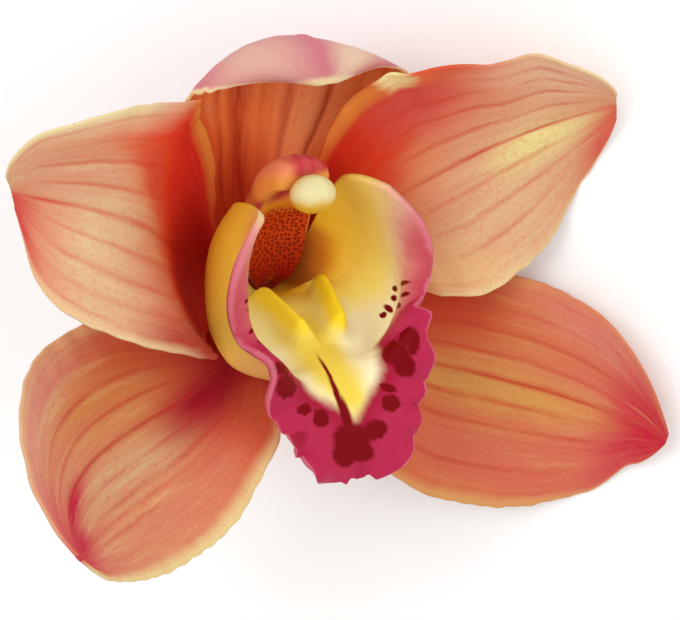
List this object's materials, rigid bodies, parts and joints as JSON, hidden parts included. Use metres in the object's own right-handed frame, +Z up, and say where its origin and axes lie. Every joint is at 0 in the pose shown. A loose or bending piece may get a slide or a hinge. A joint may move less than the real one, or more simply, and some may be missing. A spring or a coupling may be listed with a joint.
{
  "type": "cymbidium orchid bloom",
  "caption": "Cut cymbidium bloom lying face up: orange sepals and petals, spotted crimson and yellow lip, arched column with cream cap, short stalk.",
  "frame": {"origin": "centre of the base of the bounding box, on the surface the bloom lies on", "axes": "+Z up from the surface; +X to the right and +Y to the top of the flower, as seen from above"},
  "size_m": [0.0962, 0.0826, 0.0836],
  "materials": {
    "dorsal_sepal": "satin",
    "left_petal": "satin",
    "right_petal": "satin",
    "left_lateral_sepal": "satin",
    "right_lateral_sepal": "satin",
    "lip": "satin",
    "column": "satin",
    "anther_cap": "satin",
    "pollinarium": "satin",
    "pedicel": "satin"
  },
  "bodies": {
    "root": {"dorsal_sepal": "dorsal_sepal", "left_petal": "left_petal", "right_petal": "right_petal", "left_lateral_sepal": "left_lateral_sepal", "right_lateral_sepal": "right_lateral_sepal", "lip": "lip", "column": "column", "anther_cap": "anther_cap", "pollinarium": "pollinarium", "pedicel": "pedicel"}
  },
  "joints": []
}
